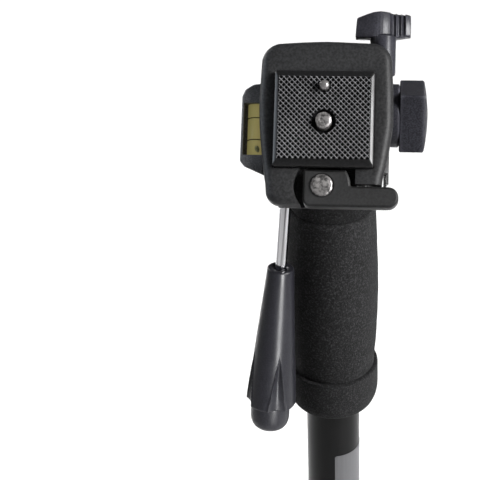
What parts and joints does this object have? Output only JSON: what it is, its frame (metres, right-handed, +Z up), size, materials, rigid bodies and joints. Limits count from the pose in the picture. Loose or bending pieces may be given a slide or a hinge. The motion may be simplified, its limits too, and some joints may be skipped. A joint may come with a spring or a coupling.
{
  "type": "camera monopod",
  "caption": "Telescopic camera monopod with flip lever leg locks, rubber foot, wire foot step, foam grip, wrist strap and a pan, tilt and flip head with quick release plate and pan handle.",
  "frame": {"origin": "tip of the spike under the rubber foot, on the column axis", "axes": "+Z up the column, +X to the right of a user behind the camera (tilt knob side), +Y the way the lens looks"},
  "size_m": [0.0906, 0.0974, 0.6442],
  "materials": {
    "tube_black": "satin black anodised",
    "lock_black": "semi-gloss moulded black",
    "abs_black": "fine textured charcoal black",
    "nylon": "natural nylon",
    "inner_black": "moulded black",
    "rubber_black": "matt black rubber",
    "foam": "closed cell foam, fine grain",
    "pad_grey": "grey knurled rubber",
    "wire_black": "gloss black powder coat",
    "steel": "turned steel",
    "nickel": "nickel plated",
    "chrome": "polished chrome",
    "knob_black": "semi-gloss black",
    "handle_black": "semi-gloss black",
    "vial": "clear yellow-green liquid",
    "cord_black": "braided black cord"
  },
  "bodies": {
    "column": {"leg_tube_1": "tube_black", "lock_collar_1": "lock_black", "lock_pin_1": "steel", "brake_shoe_1": "inner_black", "grip_foam": "foam", "grip_end_ring": "rubber_black", "column_plug": "inner_black"},
    "lever_1": {"lock_lever_1": "lock_black"},
    "lever_2": {"lock_lever_2": "lock_black"},
    "lever_3": {"lock_lever_3": "lock_black"},
    "leg_2": {"leg_tube_2": "tube_black", "bushing_2": "nylon", "lock_collar_2": "lock_black", "lock_pin_2": "steel", "brake_shoe_2": "inner_black"},
    "leg_3": {"leg_tube_3": "tube_black", "bushing_3": "nylon", "lock_collar_3": "lock_black", "lock_pin_3": "steel", "brake_shoe_3": "inner_black"},
    "leg_4": {"leg_tube_4": "tube_black", "bushing_4": "nylon", "foot_plug": "inner_black", "foot_spike": "steel", "stirrup_pin": "steel"},
    "foot": {"rubber_foot": "rubber_black"},
    "step": {"stirrup": "wire_black"},
    "pan": {"head_base": "abs_black", "pan_bolt": "steel", "strap_ring": "nickel", "strap_crimp": "nickel", "strap_cord": "cord_black"},
    "pan_lock": {"pan_lock_screw": "knob_black"},
    "tilt": {"tilt_body": "abs_black", "tilt_bolt": "steel", "tilt_washer": "steel", "handle_rod": "chrome", "handle_grip": "handle_black", "handle_cap": "handle_black"},
    "tilt_lock": {"tilt_knob": "knob_black"},
    "flip": {"platform": "abs_black", "flip_pin": "steel", "bubble_housing": "abs_black", "bubble_vial": "vial", "lever_screw": "nickel", "lever_spring": "steel"},
    "flip_lock": {"t_knob": "knob_black"},
    "release": {"qr_lever": "abs_black"},
    "plate": {"qr_plate": "abs_black", "plate_pad": "pad_grey", "pin_spring": "steel"},
    "screw": {"camera_screw": "nickel"},
    "pin": {"video_pin": "nickel"}
  },
  "joints": [
    {"name": "leg_2_slide", "type": "slide", "parent": "column", "child": "leg_2", "axis": [0, 0, -1], "range_m": [0, 0.36]},
    {"name": "leg_3_slide", "type": "slide", "parent": "leg_2", "child": "leg_3", "axis": [0, 0, -1], "range_m": [0, 0.36]},
    {"name": "leg_4_slide", "type": "slide", "parent": "leg_3", "child": "leg_4", "axis": [0, 0, -1], "range_m": [0, 0.36]},
    {"name": "lock_lever_1_flip", "type": "hinge", "parent": "column", "child": "lever_1", "pos_m": [0.0186, 0, 0.1244], "axis": [0, 1, 0], "range_deg": [0, 100]},
    {"name": "lock_lever_2_flip", "type": "hinge", "parent": "leg_2", "child": "lever_2", "pos_m": [0.017, 0, 0.0914], "axis": [0, 1, 0], "range_deg": [0, 100]},
    {"name": "lock_lever_3_flip", "type": "hinge", "parent": "leg_3", "child": "lever_3", "pos_m": [0.0154, 0, 0.063], "axis": [0, 1, 0], "range_deg": [0, 100]},
    {"name": "foot_screw_travel", "type": "slide", "parent": "leg_4", "child": "foot", "axis": [0, 0, 1], "range_m": [-0.0014, 0.004]},
    {"name": "step_fold", "type": "hinge", "parent": "leg_4", "child": "step", "pos_m": [0, 0, 0.043], "axis": [0, -1, 0], "range_deg": [0, 66]},
    {"name": "pan", "type": "hinge", "parent": "column", "child": "pan", "pos_m": [0, 0, 0.555], "axis": [0, 0, 1], "continuous": true},
    {"name": "pan_lock_turn", "type": "hinge", "parent": "pan", "child": "pan_lock", "pos_m": [0.01, 0.01732, 0.555], "axis": [0.5, 0.866, 0], "range_deg": [0, 180]},
    {"name": "tilt", "type": "hinge", "parent": "pan", "child": "tilt", "pos_m": [0, 0, 0.59], "axis": [1, 0, 0], "range_deg": [-120, 1.5]},
    {"name": "tilt_knob_turn", "type": "hinge", "parent": "tilt", "child": "tilt_lock", "pos_m": [0.033, 0, 0.59], "axis": [1, 0, 0], "range_deg": [0, 180]},
    {"name": "portrait_flip", "type": "hinge", "parent": "tilt", "child": "flip", "pos_m": [0.0217, -0.03748, 0.60626], "axis": [0, 0.7071, 0.7071], "range_deg": [0, 90]},
    {"name": "t_knob_turn", "type": "hinge", "parent": "flip", "child": "flip_lock", "pos_m": [0.0217, -0.00778, 0.63596], "axis": [0, 0.7071, 0.7071], "range_deg": [0, 180]},
    {"name": "release_lever", "type": "hinge", "parent": "flip", "child": "release", "pos_m": [-0.0008, -0.06102, 0.59403], "axis": [0, 0.7071, -0.7071], "range_deg": [0, 75], "stiffness_Nm_per_rad": 0.05, "springref_deg": -22.92},
    {"name": "plate_lift", "type": "slide", "parent": "flip", "child": "plate", "axis": [0, -0.7071, 0.7071], "range_m": [0, 0.015]},
    {"name": "camera_screw_turn", "type": "hinge", "parent": "plate", "child": "screw", "pos_m": [-0.0005, -0.04646, 0.61425], "axis": [0, -0.7071, 0.7071], "continuous": true},
    {"name": "video_pin_press", "type": "slide", "parent": "plate", "child": "pin", "axis": [0, 0.7071, -0.7071], "range_m": [0, 0.003], "stiffness_N_per_m": 600, "springref_m": -0.002, "deforming": ["pin_spring"]}
  ]
}
